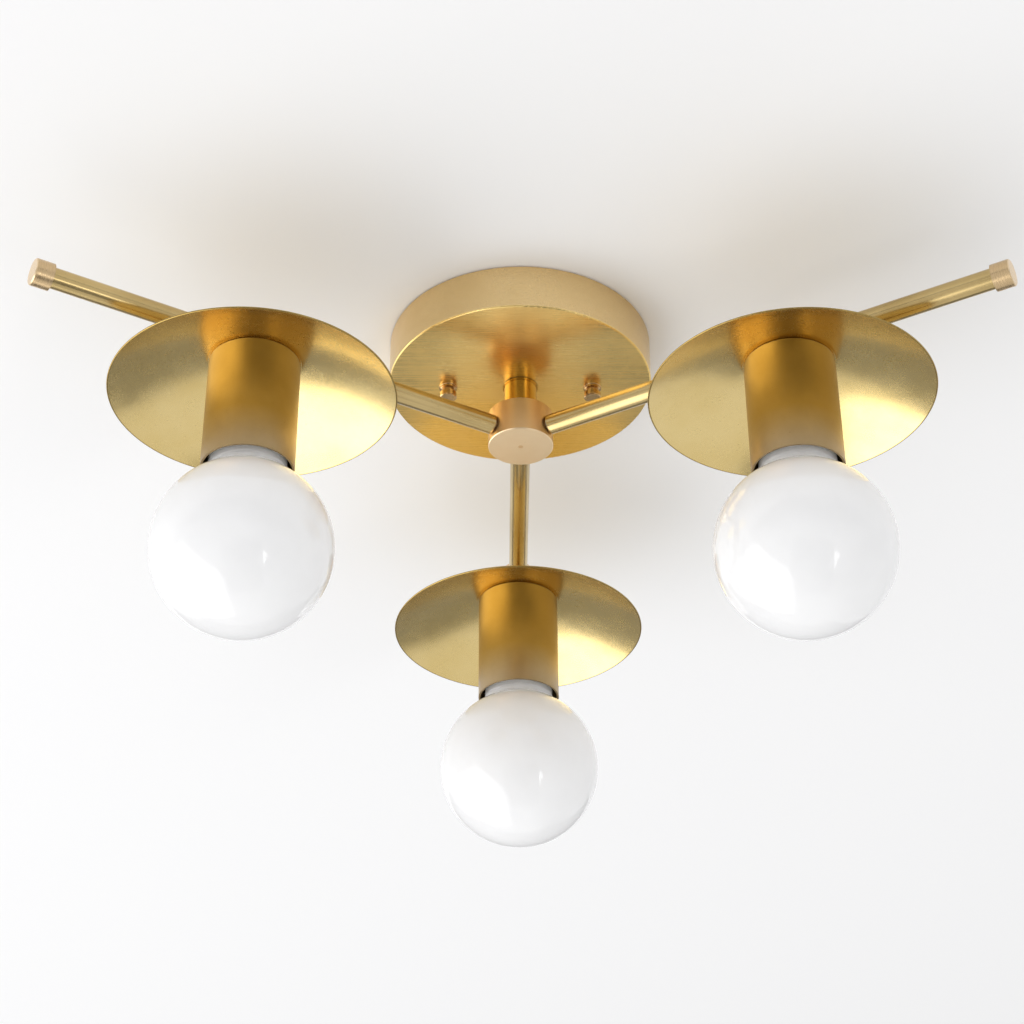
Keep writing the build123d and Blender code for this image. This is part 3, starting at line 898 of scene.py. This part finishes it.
def dress(node, *materials):
    """Gives a CAD node its materials."""
    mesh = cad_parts[node].data
    mesh.materials.clear()
    for material in materials:
        mesh.materials.append(material)


def dress_arms():
    """Brass of the arms, tees, end caps, discs and cups."""
    disc_tone = ((0.84, 0.655, 0.30), (0.79, 0.60, 0.25))
    rim_tone = ((0.42, 0.29, 0.09), (0.36, 0.24, 0.07))
    tube_tone = ((0.63, 0.475, 0.22), (0.50, 0.36, 0.15))
    cup_tone = ((0.475, 0.312, 0.09), (0.415, 0.268, 0.072))
    mouth_reflection_tone = ((0.46, 0.345, 0.20), (0.41, 0.30, 0.16))
    cap_tone = ((0.68, 0.50, 0.29), (0.61, 0.44, 0.24))
    lengthwise = (8.0, 3200.0)
    crosswise = (1500.0, 60.0)
    arm_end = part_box("end_cap_far")[1].y
    disc_low, disc_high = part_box("disc_far")
    disc_r = (disc_high.x - disc_low.x) / 2
    mouth_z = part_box("cup_far")[0].z
    # Painted light: each cap's end face is painted a lighter peach than its side.
    end_face_painted_light = ("X", arm_end - 0.5 * MM, arm_end - 0.3 * MM, *PEACH_LIT_FACE)
    disc_rim = ("R", disc_r - 0.8 * MM, disc_r - 0.5 * MM, *rim_tone)
    # Painted reflection: the cup is painted paler and less saturated towards its mouth, for the
    # light it reflects there.
    cup_mouth_painted_reflection = ("Z", mouth_z + 22 * MM, mouth_z + 3 * MM, *mouth_reflection_tone)
    for lamp in LAMPS:
        centre = node_axis(f"disc_{lamp}")
        turn = ARM_ANGLE[lamp]
        arm = brushed_brass(
            f"arm_brass_{lamp}", tube_tone, turn, roughness=0.2, grain=lengthwise
        )
        dress(f"arm_inner_{lamp}", arm)
        dress(f"arm_outer_{lamp}", arm)
        disc = satin_brass(
            f"disc_brass_{lamp}", disc_tone, centre, roughness=0.23, steps=(disc_rim,)
        )
        dress(f"disc_{lamp}", disc)
        cup = satin_brass(
            f"cup_brass_{lamp}", cup_tone, centre, roughness=0.36, steps=(cup_mouth_painted_reflection,)
        )
        dress(f"cup_{lamp}", cup)
        tee = turned_brass(f"tee_brass_{lamp}", TAN, centre, roughness=0.28)
        dress(f"tee_{lamp}", tee)
        cap = brushed_brass(
            f"end_cap_brass_{lamp}", cap_tone, turn, roughness=0.26, grain=crosswise,
            relief=0.25, steps=(end_face_painted_light,),
        )
        dress(f"end_cap_{lamp}", cap)


def dress_middle():
    """Brass of the canopy, the stem, the hub and the cap nuts."""
    face_tone = ((0.92, 0.67, 0.26), (0.86, 0.60, 0.21))
    band_glare_tone = ((0.80, 0.60, 0.31), (0.74, 0.54, 0.26))
    stem_tone = ((0.66, 0.41, 0.10), (0.58, 0.35, 0.08))
    gap_shadow_tone = ((0.20, 0.12, 0.04), (0.17, 0.10, 0.03))
    nut_tone = ((0.64, 0.45, 0.23), (0.57, 0.39, 0.19))
    face_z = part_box("canopy")[0].z
    # Painted reflection: above the face, the side band is painted paler and less saturated,
    # standing in for the pale glare it reflects.
    band_painted_glare = ("Z", face_z + 0.4 * MM, face_z + 0.8 * MM, *band_glare_tone)
    canopy = brushed_brass(
        "canopy_brass", face_tone, turn=0.0, roughness=0.28, grain=(8.0, 5000.0),
        relief=0.03, steps=(band_painted_glare,), streak=0.05,
    )
    dress("canopy", canopy)
    hub_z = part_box("hub")[0].z
    centre_mark = ("R", 1.4 * MM, 1.0 * MM, *TAN)
    # Painted light: the flat bottom keeps the lighter peach and the side is painted a darker tan,
    # lit and shaded tones of the same brass.
    hub_side_painted_shade = ("Z", hub_z + 0.3 * MM, hub_z + 0.5 * MM, *TAN)
    hub = turned_brass(
        "hub_brass", PEACH_LIT_FACE, (0, 0), roughness=0.36, relief=0.2, steps=(centre_mark, hub_side_painted_shade)
    )
    dress("hub", hub)
    dress("stem", turned_brass("stem_brass", stem_tone, (0, 0), roughness=0.16))
    ring_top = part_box("stem_ring")[1].z
    # Painted shadow: a thin dark band at the top of the ring, for the shade where it meets the
    # canopy.
    gap_painted_shadow = ("Z", ring_top - 0.45 * MM, ring_top - 0.35 * MM, *gap_shadow_tone)
    ring = turned_brass("stem_ring_brass", stem_tone, (0, 0), roughness=0.2, steps=(gap_painted_shadow,))
    dress("stem_ring", ring)
    for side in ("left", "right"):
        centre = node_axis(f"cap_nut_{side}")
        nut = turned_brass(f"cap_nut_brass_{side}", nut_tone, centre, roughness=0.22)
        dress(f"cap_nut_{side}", nut)
        dress(f"nut_washer_{side}", nut)


def solids_of(mesh):
    """For each face of a mesh, a corner point that all the faces of its solid share."""
    spot = [tuple(round(c / MM, 3) for c in vertex.co) for vertex in mesh.vertices]
    lead = {point: point for point in spot}

    def find(point):
        """Corner point that stands for a point's solid so far."""
        while lead[point] != point:
            lead[point] = lead[lead[point]]
            point = lead[point]
        return point

    for edge in mesh.edges:
        first, second = (find(spot[i]) for i in edge.vertices)
        lead[first] = second
    return [find(spot[face.vertices[0]]) for face in mesh.polygons]


def dress_wires():
    """Black wires to the contacts, white wires to the shells and a green ground wire."""
    black = moulded("black_insulation", BLACK, (0.05, 0.05, 0.05), roughness=0.45)
    white = moulded(
        "white_insulation", (0.80, 0.80, 0.78), (0.76, 0.76, 0.73), roughness=0.45
    )
    for lamp in LAMPS:
        node = f"wires_{lamp}"
        dress(node, white, black)
        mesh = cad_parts[node].data
        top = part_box(node)[1].z - 1.0 * MM
        solids = solids_of(mesh)
        upper = {solid for face, solid in zip(mesh.polygons, solids) if face.center.z > top}
        for face, solid in zip(mesh.polygons, solids):
            face.material_index = int(solid in upper)
    lug_r = 9.3 * MM
    metal = (0.70, 0.68, 0.62)

    def past_lug(tree, place, radius):
        """Share of coating outside the ring terminal."""
        return past(tree, place, "R", lug_r, lug_r + 0.2 * MM, radius)

    wire = part_metal("ground_wire", metal, GREEN, roughness=0.35, share_of=past_lug)
    dress("ground_wire", wire)


def dress_sockets():
    """Sockets, their contacts, the bulb tips and the crossbar."""
    phenolic = moulded("socket_phenolic", BLACK, (0.04, 0.035, 0.03), roughness=0.4)
    button_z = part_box("bulb_tip_far")[1].z - 2.4 * MM
    blend = 0.05 * MM

    def below_button(tree, place, radius):
        """Share of glass below the contact button."""
        return past(tree, place, "Z", button_z + blend, button_z - blend)

    metal = (0.72, 0.72, 0.70)
    dark_glass = (0.03, 0.03, 0.04)
    tip = part_metal("tip_glass", metal, dark_glass, roughness=0.12, share_of=below_button)
    for lamp in LAMPS:
        dress(f"socket_{lamp}", phenolic)
        dress(f"bulb_tip_{lamp}", tip)
    dress("socket_caps", phenolic)
    dress("centre_contacts", plain_metal("contact_brass", CONTACT, roughness=0.3))
    dress("crossbar", plain_metal("bar_steel", STEEL, roughness=0.3))


def make_bulbs():
    """Bulbs and the screw shells that they turn in."""
    glass = opal_glass("opal_glass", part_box("bulb_base_far")[0].z - 11.0 * MM)
    shell_tone = ((0.74, 0.74, 0.73), (0.68, 0.68, 0.66))
    metal = plain_metal("shell_metal", shell_tone, roughness=0.25)
    for lamp in LAMPS:
        make_bulb_glass(lamp, glass)
        make_bulb_base(lamp, metal)
        make_screw_shell(lamp, metal)


def make_fasteners():
    """Threaded, toothed, slotted and ribbed small pieces."""
    steel = plain_metal("plated_steel", STEEL, roughness=0.3)
    make_studs(steel)
    make_nipples(steel)
    make_nuts(steel)
    make_lock_washer(steel)
    make_terminal_screws(plain_metal("terminal_brass", CONTACT, roughness=0.3))
    enamel = moulded("ground_green", GREEN, (0.04, 0.26, 0.08), roughness=0.4)
    make_ground_screw(enamel)
    plastic = moulded(
        "connector_plastic", (0.80, 0.33, 0.05), (0.76, 0.30, 0.04), roughness=0.35
    )
    make_wire_connectors(plastic)


make_studio()
dress_arms()
dress_middle()
dress_wires()
dress_sockets()
make_bulbs()
make_fasteners()
